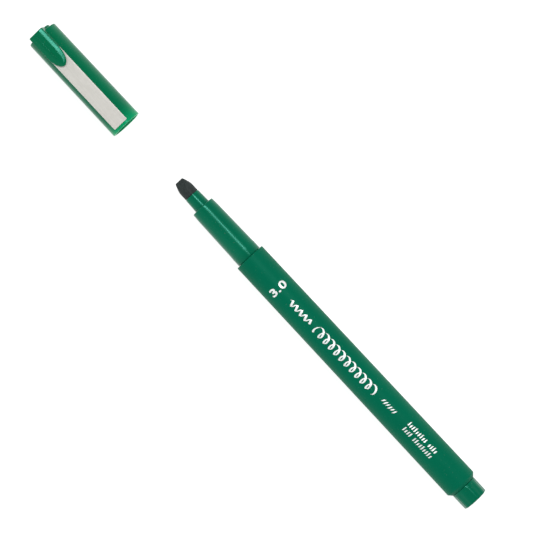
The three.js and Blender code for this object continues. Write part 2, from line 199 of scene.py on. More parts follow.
def carve(piece, tool, operation="DIFFERENCE"):
    """Cut a tool out of the piece, or weld it on, and put the tool away."""
    cut = piece.modifiers.new("carve", "BOOLEAN")
    cut.operation = operation
    cut.solver = "MANIFOLD"
    cut.object = tool
    apply_modifier(piece, cut)
    bpy.data.objects.remove(tool)


def polish(piece, angle=32):
    """Shade the piece smooth, but keep its sharp edges."""
    take(piece)
    bpy.ops.object.shade_smooth_by_angle(angle=math.radians(angle))


def lean(piece):
    """Lean a piece with the cap, about the marker's axis."""
    piece.matrix_world = (
        Matrix.Translation((0, 0, AXIS))
        @ Matrix.Rotation(CAP_LEAN, 4, "X")
        @ Matrix.Translation((0, 0, -AXIS))
    )
    return settle(piece)


def fit_to_model(piece, body, slot, *nodes, lean_with_cap=False):
    """Hand a finished piece over to the model, with its body and what it stands for; the slot is not
    used.
    """
    if lean_with_cap:
        lean(piece)
    polish(piece)
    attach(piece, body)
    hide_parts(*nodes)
    return piece


def turned(name, profile):
    """Draw a ring out along a profile of (place, radius) steps, as on a lathe.

    A profile that ends where it starts closes on itself, and any other has its two ends filled.
    """
    clear_bench()
    place, radius = profile[0]
    bpy.ops.mesh.primitive_circle_add(
        vertices=SIDES, radius=radius, location=(place, 0, AXIS), rotation=(0, math.pi / 2, 0)
    )
    piece = added(name)
    bpy.ops.object.mode_set(mode="EDIT")
    bpy.ops.mesh.select_mode(type="EDGE")
    bpy.ops.mesh.select_all(action="SELECT")
    for (x0, r0), (x1, r1) in zip(profile, profile[1:]):
        bpy.ops.mesh.extrude_edges_move(TRANSFORM_OT_translate={"value": (x1 - x0, 0, 0)})
        bpy.ops.transform.resize(value=(1, r1 / r0, r1 / r0), center_override=(x1, 0, AXIS))
    if math.dist(profile[0], profile[-1]) > 0.001 * MM:
        bpy.ops.mesh.edge_face_add()
        bpy.ops.mesh.select_all(action="DESELECT")
        bpy.ops.mesh.select_non_manifold()
        bpy.ops.mesh.edge_face_add()
    face_outwards()
    bpy.ops.object.mode_set(mode="OBJECT")
    return piece


def quarter(place, radius, size, start, steps=4):
    """Steps of a small quarter round in a profile, from one angle in degrees and back by 90."""
    angles = [math.radians(start - 90 * i / steps) for i in range(steps + 1)]
    return [(place + size * math.cos(a), radius + size * math.sin(a)) for a in angles]


def block(name, low, high):
    """A block between two corners."""
    clear_bench()
    middle = [(a + b) / 2 for a, b in zip(low, high)]
    bpy.ops.mesh.primitive_cube_add(size=1, location=middle)
    bpy.context.object.scale = [b - a for a, b in zip(low, high)]
    return added(name)


# ---- The pen --------------------------------------------------------------------------------


def make_barrel():
    """The long tube, a little wider towards the tail, with a narrow chamfer at the end."""
    bevel, chamfer, ledge = 0.15 * MM, 1.05 * MM, 0.12 * MM
    piece = turned(
        "barrel_tube",
        [
            (BARREL_FRONT, BARREL_BORE),
            (BARREL_FRONT, BARREL_RADIUS_FRONT - bevel),
            (BARREL_FRONT + bevel, BARREL_RADIUS_FRONT),
            (BARREL_END - chamfer, BARREL_RADIUS_REAR),
            (BARREL_END, TAIL_RADIUS + ledge),
            (BARREL_END, BARREL_BORE),
            (BARREL_FRONT, BARREL_BORE),
        ],
    )
    ease_edges(piece, 0.08 * MM)
    return piece


def make_front_section():
    """The neck that the cap fits over, with its land, and its spigot in the barrel."""
    mouth = HOLDER_RADIUS_REAR + FIT
    land = BARREL_FRONT - LAND_LENGTH
    round_tip = 0.3 * MM
    first_fall, tip_fall = 0.055 * MM, 0.12 * MM
    collar_depth = NECK_TIP + 1.2 * MM
    piece = turned(
        "neck_section",
        [
            (NECK_TIP, mouth),
            *quarter(NECK_TIP + round_tip, NECK_RADIUS_FRONT - tip_fall - round_tip, round_tip, 180),
            (NECK_TIP + 0.4 * LEAD_LENGTH, NECK_RADIUS_FRONT - first_fall),
            (NECK_TIP + LEAD_LENGTH, NECK_RADIUS_FRONT + 0.01 * MM),
            (land, NECK_RADIUS_REAR),
            (land + 0.2 * MM, NECK_RADIUS_REAR + 0.015 * MM),
            (land + 0.85 * MM, LAND_RADIUS + 0.03 * MM),
            (land + 1.1 * MM, LAND_RADIUS),
            (BARREL_FRONT - SEAT_GAP, LAND_RADIUS),
            (BARREL_FRONT - SEAT_GAP, SPIGOT_RADIUS),
            (SPIGOT_END - 1 * MM, SPIGOT_RADIUS),
            (SPIGOT_END, SPIGOT_RADIUS - FIT),
            (SPIGOT_END, NECK_BORE),
            (collar_depth, NECK_BORE),
            (collar_depth, mouth),
            (NECK_TIP, mouth),
        ],
    )
    ease_edges(piece, 0.05 * MM, steps=2)
    return piece


def make_nib_holder():
    """The flared collar round the nib, with a flange in the neck and two air slots at the tang."""
    bore = TANG_RADIUS + FIT
    flange = HOLDER_END - 3.5 * MM
    lip = 0.12 * MM
    piece = turned(
        "nib_collar",
        [
            (HOLDER_TIP, bore),
            (HOLDER_TIP, HOLDER_RADIUS_FRONT - lip),
            (HOLDER_TIP + lip, HOLDER_RADIUS_FRONT),
            (NECK_TIP, HOLDER_RADIUS_REAR),
            (flange, HOLDER_RADIUS_REAR),
            (flange, NECK_BORE - FIT),
            (HOLDER_END, NECK_BORE - FIT),
            (HOLDER_END, bore),
            (HOLDER_TIP, bore),
        ],
    )
    slot = bore + 0.35 * MM
    tool = block(
        "air_slot_tool",
        (flange, -0.35 * MM, AXIS - slot),
        (HOLDER_END + 1 * MM, 0.35 * MM, AXIS + slot),
    )
    carve(piece, tool)
    ease_edges(piece, 0.05 * MM, steps=2)
    return piece


def make_nib():
    """A felt rod with a tapered head, cut by two flats that meet in the writing edge."""
    edge = NIB_EDGE_WIDTH / 2
    taper_end = NIB_TIP + NIB_TAPER
    head_end = HOLDER_TIP - SEAT_GAP
    piece = turned(
        "felt_nib",
        [
            (NIB_TIP, edge - 0.3 * MM),
            (NIB_TIP + 0.06 * MM, edge - 0.14 * MM),
            (NIB_TIP + 0.2 * MM, edge - 0.02 * MM),
            (NIB_TIP + 0.45 * MM, edge + 0.1 * MM),
            (taper_end - 0.7 * MM, NIB_RADIUS - 0.17 * MM),
            (taper_end, NIB_RADIUS - 0.04 * MM),
            (taper_end + 0.6 * MM, NIB_RADIUS),
            (head_end, NIB_RADIUS),
            (head_end, TANG_RADIUS),
            (TANG_END - 1.4 * MM, TANG_RADIUS),
            (TANG_END, TANG_RADIUS / 2),
        ],
    )
    turn = Matrix.Rotation(NIB_TURN, 4, "X")
    reach = 8 * MM
    for side in (1, -1):
        # A block whose lower face lies on the flat.
        tool = block("flat_tool", (-reach, -reach, 0), (reach, reach, reach))
        tool.matrix_world = (
            Matrix.Translation((NIB_TIP, 0, AXIS))
            @ turn
            @ Matrix.Rotation(math.pi * (side < 0), 4, "X")
            @ Matrix.Translation((0, 0, NIB_EDGE_THICKNESS / 2))
            @ Matrix.Rotation(-NIB_HALF_ANGLE, 4, "Y")
        )
        carve(piece, settle(tool))
    ease_edges(piece, 0.13 * MM, steps=3, angle=24)
    return piece


def make_tail_plug():
    """The stopper in the barrel's end, with a plain collar, shallow flutes and a hollow nose."""
    start = BARREL_END + SEAT_GAP
    plug = BARREL_BORE - FIT
    spigot = BARREL_END - 8 * MM
    nose = 2.8 * MM
    hollow = nose - 0.7 * MM
    edge = 0.35 * MM
    end_radius = TAIL_RADIUS - 0.04 * MM
    flute_start = start + 0.9 * MM
    flute_full = flute_start + 0.3 * MM
    piece = turned(
        "tail_stopper",
        [
            (start + 1.9 * MM, hollow),
            (PLUG_NOSE, hollow),
            (PLUG_NOSE, nose),
            (spigot, nose),
            (spigot, plug - FIT),
            (spigot + FIT, plug),
            (start, plug),
            (start, TAIL_RADIUS - 0.1 * MM),
            (start + 0.1 * MM, TAIL_RADIUS),
            (flute_start, TAIL_RADIUS),
            (flute_full, TAIL_RADIUS),
            *quarter(TAIL_END - edge, end_radius - edge, edge, 90),
        ],
    )
    take(piece)
    bpy.ops.object.mode_set(mode="EDIT")
    step = 2 * math.pi / SIDES
    per_flute = SIDES // FLUTES
    half_width = math.radians(10.3)
    for offset in range(4):
        depth = FLUTE_DEPTH * (1 - (offset * step / half_width) ** 2)
        share = 1 - depth / TAIL_RADIUS

        def in_flute(p):
            phase = round(math.atan2(p.y, p.z - AXIS) / step) % per_flute
            away = math.hypot(p.y, p.z - AXIS)
            outside = p.x > flute_full - TINY and away > end_radius - 1.3 * edge
            return outside and min(phase, per_flute - phase) == offset

        pick(piece, in_flute)
        bpy.ops.transform.resize(value=(1, share, share), center_override=(0, 0, AXIS))
    bpy.ops.object.mode_set(mode="OBJECT")
    ease_edges(piece, 0.05 * MM, steps=2, angle=35)
    return piece


# ---- The cap --------------------------------------------------------------------------------


def make_cap_shell():
    """The outer sleeve, closed at the crown, with a hole for the stem and a slot for the clip."""
    floor = LINER_END - SEAT_GAP
    inner = CAP_BORE - 0.1 * MM
    edge = 0.25 * MM
    crown = CAP_RADIUS - CAP_DRAFT
    hole = STEM_RADIUS + FIT
    hole_end = CAP_END + STEM_LENGTH + SEAT_GAP
    piece = turned(
        "cap_sleeve",
        [
            (hole_end, hole),
            (CAP_END, hole),
            *quarter(CAP_END + edge, crown - edge, edge, 180),
            *quarter(CAP_MOUTH - edge, CAP_RADIUS - edge, edge, 90),
            (CAP_MOUTH, CAP_BORE + edge / 2),
            (CAP_MOUTH - edge, CAP_BORE),
            (floor, inner),
        ],
    )
    ease_edges(piece, 0.04 * MM, steps=2)
    gap = SEAT_GAP
    tool = block(
        "clip_slot_tool",
        (CLIP_BACK - gap, -CLIP_ROOT_WIDTH / 2 - gap, AXIS + CLIP_UNDER - CLIP_LUG - gap),
        (CLIP_BACK + CLIP_THICKNESS + gap, CLIP_ROOT_WIDTH / 2 + gap, AXIS + CAP_RADIUS + 1 * MM),
    )
    carve(piece, tool)
    return piece


def make_cap_liner():
    """The inner sleeve that seals on the nib holder when the cap is on."""
    end_wall = 1.2 * MM
    lip = 1.7 * MM
    piece = turned(
        "cap_inner_sleeve",
        [
            (LINER_END + end_wall, LINER_CHAMBER),
            (LINER_MOUTH - lip, LINER_CHAMBER),
            (LINER_MOUTH - lip, LINER_LIP),
            (LINER_MOUTH - 0.25 * MM, LINER_LIP),
            (LINER_MOUTH, LINER_LIP + 0.25 * MM),
            (LINER_MOUTH, LINER_RADIUS),
            (LINER_END, LINER_RADIUS),
        ],
    )
    ease_edges(piece, 0.1 * MM)
    return piece


def make_hood():
    """The roof over the clip's root: an arched outline, a broad shallow chamfer, a gently round
    top and a fine rib along it."""
    half = HOOD_WIDTH / 2
    arch = HOOD_TIP - HOOD_ARCH
    top = AXIS + HOOD_TOP
    clear_bench()
    bpy.ops.mesh.primitive_cylinder_add(
        vertices=72, radius=half, depth=HOOD_TOP, location=(arch, 0, AXIS + HOOD_TOP / 2)
    )
    piece = added("hood")
    bpy.ops.object.mode_set(mode="EDIT")
    bpy.ops.mesh.select_all(action="SELECT")
    bpy.ops.mesh.bisect(
        plane_co=(arch, 0, 0), plane_no=(-1, 0, 0), use_fill=True, clear_outer=True
    )
    bpy.ops.mesh.select_all(action="SELECT")
    bpy.ops.transform.resize(value=(HOOD_ARCH / half, 1, 1), center_override=(arch, 0, 0))
    pick_faces(piece, lambda middle, normal: normal.x < -0.99)
    bpy.ops.mesh.extrude_region_move(
        TRANSFORM_OT_translate={"value": (CROWN_END - arch, 0, 0)}
    )
    face_outwards()
    pick_faces(piece, lambda middle, normal: normal.z > 0.99)
    rim, back_edge = 0.9 * MM, 0.12 * MM
    bpy.ops.mesh.inset(thickness=rim, depth=0)
    bpy.ops.transform.resize(
        value=(1, (half - HOOD_CHAMFER) / (half - rim), 1), center_override=(arch, 0, 0)
    )
    inset_end = CROWN_END + rim + 0.001 * MM
    pick(piece, lambda p: p.z > top - TINY and CROWN_END + TINY < p.x < inset_end)
    bpy.ops.transform.translate(value=(back_edge - rim, 0, 0))
    pick(piece, lambda p: p.z > top - TINY)
    bpy.ops.mesh.select_mode(type="FACE")
    bpy.ops.mesh.region_to_loop()
    bpy.ops.transform.translate(value=(0, 0, -HOOD_CHAMFER_DROP))
    bpy.ops.object.mode_set(mode="OBJECT")
    ease_edges(piece, 0.22 * MM, steps=3, angle=45)
    # The top falls away to both sides.
    bpy.ops.object.mode_set(mode="EDIT")
    cut_lengthwise(0.25 * MM, 10)
    shape = bmesh.from_edit_mesh(piece.data)
    rows = sorted({round(v.co.y / MM, 3) for v in shape.verts if abs(v.co.y) > TINY})
    same_row = 6e-4
    for row in rows:
        y = min(abs(row) * MM, half)
        fall = HOOD_ROUNDNESS - math.sqrt(HOOD_ROUNDNESS**2 - y**2)
        pick(piece, lambda p: abs(p.y / MM - row) < same_row and p.z > AXIS + HOOD_TOP / 2)
        bpy.ops.transform.translate(value=(0, 0, -fall))
    face_outwards()
    bpy.ops.mesh.quads_convert_to_tris()
    bpy.ops.object.mode_set(mode="OBJECT")
    rib = block(
        "rib",
        (CROWN_END + 1.2 * MM, RIB_LEFT, top - 0.3 * MM),
        (HOOD_TIP - 3.4 * MM, RIB_RIGHT, top + RIB_HEIGHT),
    )
    ease_edges(rib, 0.09 * MM, steps=3)
    carve(piece, rib, "UNION")
    return piece


def pick_middle_of_back(piece, half_width):
    """In edit mode, mark off the middle of the face towards the crown and select it."""
    for side in (1, -1):
        bpy.ops.mesh.select_all(action="SELECT")
        bpy.ops.mesh.bisect(plane_co=(0, side * half_width, 0), plane_no=(0, 1, 0))
    pick_faces(
        piece, lambda middle, normal: normal.x < -0.99 and abs(middle.y) < half_width
    )


def clip_channel_tool():
    """What clears the clip's root and blade under the hood, at rest and at their highest lift."""
    back, wide, reach = CLIP_BACK - SEAT_GAP, HOOD_TIP - HOOD_ARCH - SEAT_GAP, HOOD_TIP + 1 * MM
    channel = AXIS + CLIP_TOP + SEAT_GAP
    root_half = CLIP_ROOT_WIDTH / 2 + SEAT_GAP
    tool = block("channel_tool", (wide, -HOOD_WIDTH, AXIS - 1 * MM), (reach, HOOD_WIDTH, channel))
    bpy.ops.object.mode_set(mode="EDIT")
    pick_middle_of_back(tool, root_half)
    bpy.ops.mesh.extrude_region_move(TRANSFORM_OT_translate={"value": (back - wide, 0, 0)})
    for place in (back, wide, reach):
        pick(tool, lambda p: abs(p.x - place) < TINY and p.z > AXIS)
        bpy.ops.transform.translate(value=(0, 0, (place - back) * math.tan(CLIP_LIFT)))
    bpy.ops.mesh.select_all(action="SELECT")
    bpy.ops.mesh.normals_make_consistent(inside=False)
    bpy.ops.object.mode_set(mode="OBJECT")
    return tool


def make_cap_crown():
    """The button in the cap's end and the hood that holds the clip down, moulded in one."""
    hood = make_hood()
    under = turned(
        "under_hood_tool",
        [
            (CAP_END - SEAT_GAP, CAP_RADIUS + SEAT_GAP),
            (HOOD_TIP + 1 * MM, CAP_RADIUS + SEAT_GAP),
        ],
    )
    carve(hood, under)
    carve(hood, clip_channel_tool())
    edge = 0.3 * MM
    button = turned(
        "crown_hood",
        [
            (CAP_END + STEM_LENGTH, STEM_RADIUS),
            (CAP_END - SEAT_GAP, STEM_RADIUS),
            (CAP_END - SEAT_GAP, CROWN_RADIUS),
            *reversed(quarter(CROWN_END + edge, CROWN_RADIUS - edge, edge, 180)),
        ],
    )
    carve(button, hood, "UNION")
    return button


def bend_down(centre, turn, steps):
    """In edit mode, draw the selected face out round a centre."""
    for _ in range(steps):
        bpy.ops.mesh.extrude_region_move(TRANSFORM_OT_translate={"value": (0, 0, 0)})
        bpy.ops.transform.rotate(
            value=turn / steps, orient_axis="Y", orient_type="GLOBAL", center_override=centre
        )


def make_clip():
    """A strip of spring steel: a lug in the cap's end, a narrow root, the blade and a bent tip."""
    half, root_half = CLIP_WIDTH / 2, CLIP_ROOT_WIDTH / 2
    under, top = AXIS + CLIP_UNDER, AXIS + CLIP_TOP
    shoulder = HOOD_TIP - HOOD_ARCH + SEAT_GAP
    drop = CLIP_UNDER - CAP_RADIUS - SEAT_GAP
    left_over = math.radians(90) - CLIP_TIP_TURN
    curl = drop / (1 - math.sin(left_over))
    fold = CLIP_TIP - (curl + CLIP_THICKNESS) * math.cos(left_over)
    bend = 0.12 * MM
    piece = block("spring_clip", (shoulder, -half, under), (fold, half, top))
    bpy.ops.object.mode_set(mode="EDIT")
    # The tip: a bend down, in a few steps.
    pick_faces(piece, lambda middle, normal: normal.x > 0.99)
    bend_down((fold, 0, under - curl), -CLIP_TIP_TURN, steps=5)
    # The root: narrower, and then a right-angled bend into the slot.
    pick_middle_of_back(piece, root_half)
    start = CLIP_BACK + CLIP_THICKNESS + bend
    bpy.ops.mesh.extrude_region_move(TRANSFORM_OT_translate={"value": (start - shoulder, 0, 0)})
    bend_down((start, 0, under - bend), math.radians(90), steps=4)
    bpy.ops.mesh.extrude_region_move(TRANSFORM_OT_translate={"value": (0, 0, bend - CLIP_LUG)})
    face_outwards()
    bpy.ops.object.mode_set(mode="OBJECT")
    ease_edges(piece, 0.11 * MM, steps=3, angle=40)
    return piece


# ---- The printing ---------------------------------------------------------------------------

PRINT_LEVEL = AXIS + 8 * MM  # where flat printing is drawn, above the barrel
PEN_ANGLE = math.radians(35)
NUMERAL_HEIGHT = 2.6 * MM
NUMERAL_BREADTH = 1.3  # times as broad as the plain font
NUMERAL_PER_POINT = 4.2  # a numeral's height in heights of the decimal point
NUMERAL_WEIGHT = 0.03


def wrap_print(piece, barrel):
    """Lay flat printing on the barrel as a thin foil."""
    bpy.ops.object.mode_set(mode="EDIT")
    cut_lengthwise(0.16 * MM, 21)
    bpy.ops.mesh.select_all(action="SELECT")
    bpy.ops.mesh.remove_doubles(threshold=0.004 * MM)
    bpy.ops.mesh.dissolve_degenerate(threshold=0.004 * MM)
    bpy.ops.object.mode_set(mode="OBJECT")
    wrap = piece.modifiers.new("wrap", "SHRINKWRAP")
    wrap.target = barrel
    wrap.wrap_method = "PROJECT"
    wrap.use_project_z = True
    wrap.use_negative_direction = True
    wrap.use_positive_direction = False
    wrap.offset = 0.004 * MM
    apply_modifier(piece, wrap)
    foil = piece.modifiers.new("foil", "SOLIDIFY")
    foil.thickness = 0.018 * MM
    foil.offset = 1
    apply_modifier(piece, foil)
    return piece


def one_mesh(pieces, name):
    """Join several pieces into one."""
    clear_bench()
    for piece in pieces:
        piece.select_set(True)
    bpy.context.view_layer.objects.active = pieces[0]
    bpy.ops.object.join()
    return added(name)


def numeral(text, x, y):
    """One upright numeral, with its foot towards the tail and its head towards the nib."""
    clear_bench()
    bpy.ops.object.text_add(location=(0, 0, 0))
    bpy.context.object.data.body = text
    bpy.context.object.data.size = 1
    bpy.context.object.data.offset = NUMERAL_WEIGHT
    bpy.ops.object.convert(target="MESH")
    piece = bpy.context.object
    tall = piece.dimensions.y
    if text == ".":
        tall *= NUMERAL_PER_POINT
    scale = NUMERAL_HEIGHT / tall
    piece.scale = (NUMERAL_BREADTH * scale, scale, scale)
    bpy.ops.object.transform_apply(location=False, rotation=False, scale=True)
    bpy.ops.object.origin_set(type="GEOMETRY_ORIGIN", center="BOUNDS")
    piece.location = (x, y, PRINT_LEVEL)
    piece.rotation_euler = (0, 0, math.pi / 2)
    return piece


def make_size_mark(barrel):
    """The nib's width in numerals, set across the barrel near the nib."""
    parts = [
        numeral("3", 9.35 * MM, -2.05 * MM),
        numeral(".", 10.35 * MM, -0.28 * MM),
        numeral("0", 9.35 * MM, 1.65 * MM),
    ]
    piece = one_mesh(parts, "size_numerals")
    bpy.context.view_layer.update()
    return wrap_print(piece, barrel)


def pen_stroke(points, width):
    """What a broad pen draws along a line of points when it is held at a fixed angle."""
    clear_bench()
    start = Vector((*points[0], PRINT_LEVEL))
    bpy.ops.mesh.primitive_plane_add(size=0.1 * MM, location=start)
    piece = added("stroke")
    bpy.ops.object.mode_set(mode="EDIT")
    bpy.ops.mesh.select_mode(type="VERT")
    bpy.ops.mesh.select_all(action="SELECT")
    bpy.ops.mesh.merge(type="CENTER")
    for (x0, y0), (x1, y1) in zip(points, points[1:]):
        bpy.ops.mesh.extrude_vertices_move(TRANSFORM_OT_translate={"value": (x1 - x0, y1 - y0, 0)})
    bpy.ops.mesh.select_mode(type="EDGE")
    bpy.ops.mesh.select_all(action="SELECT")
    pen = (width * math.cos(PEN_ANGLE), width * math.sin(PEN_ANGLE), 0)
    bpy.ops.mesh.extrude_edges_move(TRANSFORM_OT_translate={"value": pen})
    bpy.ops.object.mode_set(mode="OBJECT")
    return piece


def make_loop_row(barrel):
    """A row of pen loops, as in a copybook's border, drawn in one line with the broad pen."""
    left, pitch, middle = 26.2 * MM, 2.36 * MM, -0.18 * MM
    half_height, half_width = 1.425 * MM, 0.95 * MM
    loops, steps = 11, 26
    points = []
    for i in range(loops * steps + 1):
        turn = 2 * math.pi * i / steps
        x = left + pitch * i / steps - half_width * math.sin(turn)
        points.append((x, middle - half_height * math.cos(turn)))
    return wrap_print(one_mesh([pen_stroke(points, 0.62 * MM)], "pen_loops"), barrel)


def make_wave(barrel):
    """A swelling wave, drawn in one line with the broad pen."""
    left, right, middle, half_height = 14.5 * MM, 23.5 * MM, -0.35 * MM, 0.85 * MM
    waves, start, steps = 4.5, 0.6, 96
    points = []
    for i in range(steps + 1):
        turn = 2 * math.pi * waves * i / steps + start
        x = left + (right - left) * i / steps
        points.append((x, middle + half_height * math.sin(turn)))
    return wrap_print(one_mesh([pen_stroke(points, 0.7 * MM)], "pen_wave"), barrel)


def make_scale_ticks(barrel):
    """Small marks near the tail: a row of short ticks, and two rows of a fine scale."""
    strokes = []
    for i in range(6):
        x = 55.9 * MM + 0.98 * MM * i
        low = -0.75 * MM if i % 2 else -0.55 * MM
        strokes.append(pen_stroke([(x, low), (x + 0.4 * MM, 0.4 * MM)], 0.78 * MM))
    for foot, height, gap in ((0.2 * MM, 1.5 * MM, 9), (-1.95 * MM, 1.4 * MM, 4)):
        for i in range(14):
            if i != gap:
                x = 66.8 * MM + 0.9 * MM * i
                rise = height * (1, 0.7, 0.85)[i % 3]
                strokes.append(pen_stroke([(x, foot), (x + 0.1 * MM, foot + rise)], 0.55 * MM))
    return wrap_print(one_mesh(strokes, "scale_ticks"), barrel)


# ---- Shared surface effects -----------------------------------------------------------------


def node(tree, kind, settings=None, **inputs):
    """Add a node, with its settings and the values of its inputs."""
    made = tree.nodes.new(kind)
    for key, value in (settings or {}).items():
        setattr(made, key, value)
    for key, value in inputs.items():
        made.inputs[key.replace("_", " ")].default_value = value
    return made


def wire(tree, *pairs):
    for source, target in pairs:
        tree.links.new(source, target)


def sums(tree, operation, first, second=None, clamp=False):
    """A Math node between two values or sockets."""
    made = node(tree, "ShaderNodeMath", {"operation": operation, "use_clamp": clamp})
    for socket, value in zip(made.inputs, (first, second)):
        if isinstance(value, bpy.types.NodeSocket):
            tree.links.new(value, socket)
        elif value is not None:
            socket.default_value = value
    return made.outputs[0]


def between(tree, value, low, high, to_low=0.0, to_high=1.0):
    """A Map Range node."""
    made = node(
        tree, "ShaderNodeMapRange", From_Min=low, From_Max=high, To_Min=to_low, To_Max=to_high
    )
    made.clamp = True
    tree.links.new(value, made.inputs["Value"])
    return made.outputs["Result"]


def blend_colours(tree, share, first, second):
    """A Mix node between two colours or sockets."""
    made = node(tree, "ShaderNodeMix", {"data_type": "RGBA"})
    tree.links.new(share, made.inputs["Factor"])
    for socket, value in ((made.inputs[6], first), (made.inputs[7], second)):
        if isinstance(value, bpy.types.NodeSocket):
            tree.links.new(value, socket)
        else:
            socket.default_value = (*value, 1)
    return made.outputs[2]


def new_group(name, inputs, outputs):
    """An empty node group with named number inputs and outputs."""
    group = bpy.data.node_groups.new(name, "ShaderNodeTree")
    for label, value in inputs.items():
        socket = group.interface.new_socket(
            name=label, in_out="INPUT", socket_type="NodeSocketFloat"
        )
        socket.default_value = value
    for label in outputs:
        group.interface.new_socket(name=label, in_out="OUTPUT", socket_type="NodeSocketFloat")
    return group, group.nodes.new("NodeGroupInput").outputs, group.nodes.new("NodeGroupOutput").inputs


def noise(tree, scale, detail=2.0, stretch=None):
    """Noise on Object coordinates, with features of 1 / scale metres, and finer by the stretch."""
    place = node(tree, "ShaderNodeTexCoord").outputs["Object"]
    if stretch:
        mapping = node(tree, "ShaderNodeMapping", Scale=stretch)
        tree.links.new(place, mapping.inputs["Vector"])
        place = mapping.outputs["Vector"]
    made = node(tree, "ShaderNodeTexNoise", Detail=detail, Roughness=0.55)
    tree.links.new(place, made.inputs["Vector"])
    if isinstance(scale, bpy.types.NodeSocket):
        tree.links.new(scale, made.inputs["Scale"])
    else:
        made.inputs["Scale"].default_value = scale
    return made.outputs["Fac"]


def make_moulded_skin():
    """The skin of moulded plastic: a fine grain, a faint ripple and a slow drift of shade."""
    group, given, out = new_group(
        "moulded skin",
        {"Grain Scale": 9000, "Ripple Scale": 420, "Ripple Share": 0.5},
        ["Height", "Drift", "Grain"],
    )
    grain = noise(group, given["Grain Scale"], 3)
    ripple = noise(group, given["Ripple Scale"], 1)
    share = sums(group, "MULTIPLY", sums(group, "SUBTRACT", ripple, grain), given["Ripple Share"])
    wire(
        group,
        (sums(group, "ADD", grain, share), out["Height"]),
        (noise(group, 38, 2, (1, 2.2, 2.2)), out["Drift"]),
        (grain, out["Grain"]),
    )
    return group


def make_edge_wear():
    """Where edges have been rubbed: a mask that is 1 along sharp edges and breaks up between them. On
    the clip it also places a painted highlight.
    """
    group, given, out = new_group(
        "edge wear", {"Reach": 0.18 * MM, "Breakup Scale": 1800}, ["Mask"]
    )
    rounded = node(group, "ShaderNodeBevel", {"samples": 4})
    wire(group, (given["Reach"], rounded.inputs["Radius"]))
    facing = node(group, "ShaderNodeVectorMath", {"operation": "DOT_PRODUCT"})
    surface = node(group, "ShaderNodeNewGeometry").outputs["Normal"]
    wire(group, (rounded.outputs["Normal"], facing.inputs[0]), (surface, facing.inputs[1]))
    edge = between(group, sums(group, "SUBTRACT", 1.0, facing.outputs["Value"]), 0.01, 0.12)
    patchy = between(group, noise(group, given["Breakup Scale"], 3), 0.35, 0.65)
    wire(group, (sums(group, "MULTIPLY", edge, patchy, clamp=True), out["Mask"]))
    return group


def make_handling_marks():
    """Hairline rubs along the marker and faint finger smudges."""
    group, given, out = new_group(
        "handling marks", {"Line Scale": 60, "Smudge Scale": 130}, ["Lines", "Smudge"]
    )
    lines = noise(group, given["Line Scale"], 4, (1, 55, 55))
    wire(
        group,
        (between(group, lines, 0.6, 0.78), out["Lines"]),
        (between(group, noise(group, given["Smudge Scale"], 3), 0.45, 0.75), out["Smudge"]),
    )
    return group


def make_settled_dust():
    """Specks of dust that lie on whatever faces up."""
    group, given, out = new_group("settled dust", {"Speck Scale": 2600, "Amount": 0.5}, ["Mask"])
    facing = node(group, "ShaderNodeSeparateXYZ")
    wire(group, (node(group, "ShaderNodeNewGeometry").outputs["Normal"], facing.inputs[0]))
    upward = between(group, facing.outputs["Z"], 0.3, 0.95)
    specks = between(group, noise(group, given["Speck Scale"], 2), 0.7, 0.78)
    lying = sums(group, "MULTIPLY", specks, upward)
    wire(group, (sums(group, "MULTIPLY", lying, given["Amount"], clamp=True), out["Mask"]))
    return group


def make_fibres():
    """Bundled fibres that run along the marker, as in pressed felt, spun filter or brushed metal."""
    group, given, out = new_group(
        "long fibres", {"Fibre Scale": 260, "Clump Scale": 1400}, ["Height", "Shade"]
    )
    strands = noise(group, given["Fibre Scale"], 4, (1, 22, 22))
    clumps = noise(group, given["Clump Scale"], 3)
    bundled = sums(group, "MULTIPLY", strands, 0.7)
    tangled = sums(group, "MULTIPLY", clumps, 0.3)
    uneven = sums(group, "MULTIPLY", strands, sums(group, "ADD", clumps, 0.5))
    wire(
        group,
        (sums(group, "ADD", bundled, tangled), out["Height"]),
        (between(group, uneven, 0.3, 0.7), out["Shade"]),
    )
    return group


SKIN = make_moulded_skin()
EDGE_WEAR = make_edge_wear()
HANDLING = make_handling_marks()
DUST = make_settled_dust()
FIBRES = make_fibres()


def place_group(tree, group, **inputs):
    made = node(tree, "ShaderNodeGroup", {"node_tree": group}, **inputs)
    return made.outputs


def bare_material(name, **values):
    """A material with one Principled shader, whose constant values sit on its own sockets."""
    material = bpy.data.materials.new(name)
    material.use_nodes = True
    shader = material.node_tree.nodes["Principled BSDF"]
    for key, value in values.items():
        shader.inputs[key.replace("_", " ")].default_value = value
    return material, material.node_tree, shader.inputs


def bumps(tree, shader, height, depth):
    """Raise the surface by a height map, to a depth in metres."""
    bump = node(tree, "ShaderNodeBump", Strength=1.0, Distance=depth)
    wire(tree, (height, bump.inputs["Height"]), (bump.outputs["Normal"], shader["Normal"]))


# ---- Finishes -------------------------------------------------------------------------------


